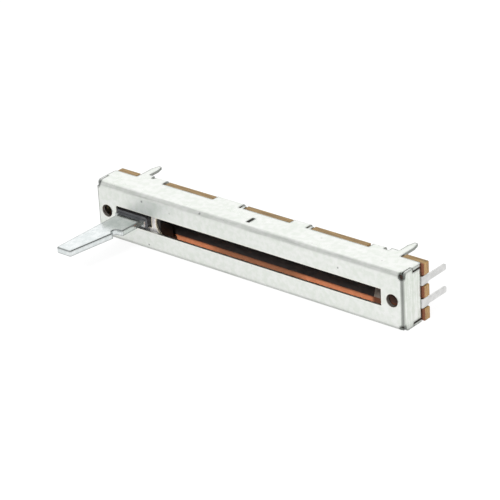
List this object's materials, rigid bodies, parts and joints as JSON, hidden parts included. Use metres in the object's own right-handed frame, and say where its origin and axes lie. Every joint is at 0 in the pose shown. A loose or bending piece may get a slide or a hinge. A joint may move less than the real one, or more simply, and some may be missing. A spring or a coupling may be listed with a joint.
{
  "type": "slide potentiometer",
  "caption": "Slide potentiometer with a folded metal case, a flat lever moving along a slot in its front, a printed phenolic board, rear mounting legs and flat pins.",
  "frame": {"origin": "on the front mounting face, midway between the two front holes", "axes": "+X along the lever's travel, +Y from the front face towards the board, +Z across the width; the lever points along -Y"},
  "size_m": [0.0604, 0.0252, 0.0094],
  "materials": {
    "plated_steel": "satin tin plate with a slight green-grey tint",
    "phenolic": "brown phenolic laminate, orange on its printed face",
    "carbon_film": "black printed carbon film",
    "silver_film": "dull silver print",
    "plated_pin": "tinned strip",
    "rivet_metal": "plated brass",
    "dark_plastic": "dark grey moulded plastic",
    "lever_metal": "bright plated steel",
    "spring_metal": "bright spring steel",
    "contact_metal": "phosphor bronze"
  },
  "bodies": {
    "housing": {"case": "plated_steel", "base_board": "phenolic", "resistive_track": "carbon_film", "collector_track": "carbon_film", "left_pad": "silver_film", "right_pad": "silver_film", "collector_pad": "silver_film", "left_terminal": "plated_pin", "track_terminal": "plated_pin", "collector_terminal": "plated_pin", "rivets": "rivet_metal"},
    "slider": {"carriage": "dark_plastic", "lever": "lever_metal", "spring_plate": "spring_metal", "wiper": "contact_metal"}
  },
  "joints": [
    {"name": "lever_slide", "type": "slide", "parent": "housing", "child": "slider", "axis": [1, 0, 0], "range_m": [0, 0.0454]}
  ]
}
